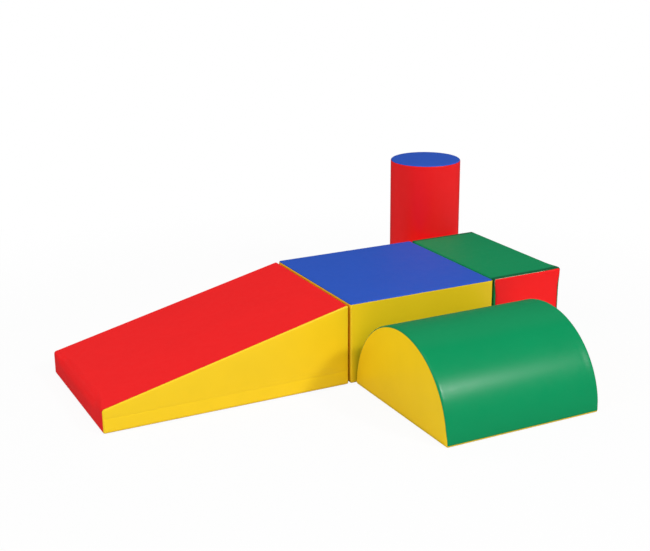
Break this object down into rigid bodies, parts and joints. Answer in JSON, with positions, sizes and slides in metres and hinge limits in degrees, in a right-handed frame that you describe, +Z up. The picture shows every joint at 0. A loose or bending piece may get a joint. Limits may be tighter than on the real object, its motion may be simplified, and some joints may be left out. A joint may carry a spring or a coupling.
{
  "type": "soft play foam climber",
  "caption": "Soft foam play modules in zipped vinyl covers: a ramp and two blocks in a row, a half-round in front and an upright cylinder behind.",
  "frame": {"origin": "middle of the whole set's footprint, on the floor", "axes": "+X along the row from the ramp's low end to the small block, +Y from the half-round in front to the cylinder behind, +Z up"},
  "size_m": [1.8218, 1.5116, 0.6],
  "materials": {
    "red_vinyl": "satin PVC-coated polyester, smooth",
    "yellow_vinyl": "satin PVC-coated polyester, smooth",
    "blue_vinyl": "satin PVC-coated polyester, smooth",
    "green_vinyl": "satin PVC-coated polyester, smooth",
    "foam": "open-cell polyurethane foam, cut",
    "zip_tape": "woven polyester tape with nylon coil",
    "zip_slider": "die-cast zinc, dark enamel",
    "hook_strip": "nylon hooks on woven tape",
    "loop_strip": "brushed nylon loops on woven tape"
  },
  "bodies": {
    "large_block": {"large_block_foam_core": "foam", "large_block_top_panel": "blue_vinyl", "large_block_side_band": "yellow_vinyl", "large_block_front_base_panel": "yellow_vinyl", "large_block_rear_base_panel": "yellow_vinyl", "large_block_front_zip_stringer": "zip_tape", "large_block_rear_zip_stringer": "zip_tape", "large_block_left_front_loop_strip": "loop_strip", "large_block_left_rear_loop_strip": "loop_strip", "large_block_right_front_hook_strip": "hook_strip", "large_block_right_rear_hook_strip": "hook_strip"},
    "ramp": {"ramp_foam_core": "foam", "ramp_slope_panel": "red_vinyl", "ramp_front_side_panel": "yellow_vinyl", "ramp_rear_side_panel": "yellow_vinyl", "ramp_front_base_panel": "red_vinyl", "ramp_rear_base_panel": "red_vinyl", "ramp_front_zip_stringer": "zip_tape", "ramp_rear_zip_stringer": "zip_tape", "ramp_right_front_hook_strip": "hook_strip", "ramp_right_rear_hook_strip": "hook_strip"},
    "small_block": {"small_block_foam_core": "foam", "small_block_wrap_panel": "green_vinyl", "small_block_front_end_panel": "red_vinyl", "small_block_rear_end_panel": "red_vinyl", "small_block_left_base_panel": "green_vinyl", "small_block_right_base_panel": "green_vinyl", "small_block_left_zip_stringer": "zip_tape", "small_block_right_zip_stringer": "zip_tape", "small_block_left_front_loop_strip": "loop_strip", "small_block_left_rear_loop_strip": "loop_strip"},
    "half_round": {"half_round_foam_core": "foam", "half_round_curved_panel": "green_vinyl", "half_round_left_end_panel": "yellow_vinyl", "half_round_right_end_panel": "yellow_vinyl", "half_round_front_base_panel": "yellow_vinyl", "half_round_rear_base_panel": "yellow_vinyl", "half_round_front_zip_stringer": "zip_tape", "half_round_rear_zip_stringer": "zip_tape"},
    "cylinder": {"cylinder_foam_core": "foam", "cylinder_wrap_panel": "red_vinyl", "cylinder_top_panel": "blue_vinyl", "cylinder_front_base_panel": "red_vinyl", "cylinder_rear_base_panel": "red_vinyl", "cylinder_front_zip_stringer": "zip_tape", "cylinder_rear_zip_stringer": "zip_tape"},
    "large_block_zip_slider": {"large_block_zip_slider": "zip_slider"},
    "ramp_zip_slider": {"ramp_zip_slider": "zip_slider"},
    "small_block_zip_slider": {"small_block_zip_slider": "zip_slider"},
    "half_round_zip_slider": {"half_round_zip_slider": "zip_slider"},
    "cylinder_zip_slider": {"cylinder_zip_slider": "zip_slider"}
  },
  "joints": [
    {"name": "ramp_pull_away", "type": "slide", "parent": "large_block", "child": "ramp", "axis": [-1, 0, 0], "range_m": [0, 0.4]},
    {"name": "small_block_pull_away", "type": "slide", "parent": "large_block", "child": "small_block", "axis": [1, 0, 0], "range_m": [0, 0.4]},
    {"name": "half_round_pull_away", "type": "slide", "parent": "large_block", "child": "half_round", "axis": [0, -1, 0], "range_m": [0, 0.4]},
    {"name": "cylinder_pull_away", "type": "slide", "parent": "large_block", "child": "cylinder", "axis": [0, 1, 0], "range_m": [0, 0.4]},
    {"name": "ramp_zip_slide", "type": "slide", "parent": "ramp", "child": "ramp_zip_slider", "axis": [1, 0, 0], "range_m": [0, 0.7294]},
    {"name": "large_block_zip_slide", "type": "slide", "parent": "large_block", "child": "large_block_zip_slider", "axis": [1, 0, 0], "range_m": [0, 0.4294]},
    {"name": "small_block_zip_slide", "type": "slide", "parent": "small_block", "child": "small_block_zip_slider", "axis": [0, 1, 0], "range_m": [0, 0.4294]},
    {"name": "half_round_zip_slide", "type": "slide", "parent": "half_round", "child": "half_round_zip_slider", "axis": [1, 0, 0], "range_m": [0, 0.4294]},
    {"name": "cylinder_zip_slide", "type": "slide", "parent": "cylinder", "child": "cylinder_zip_slider", "axis": [1, 0, 0], "range_m": [0, 0.1994]}
  ]
}
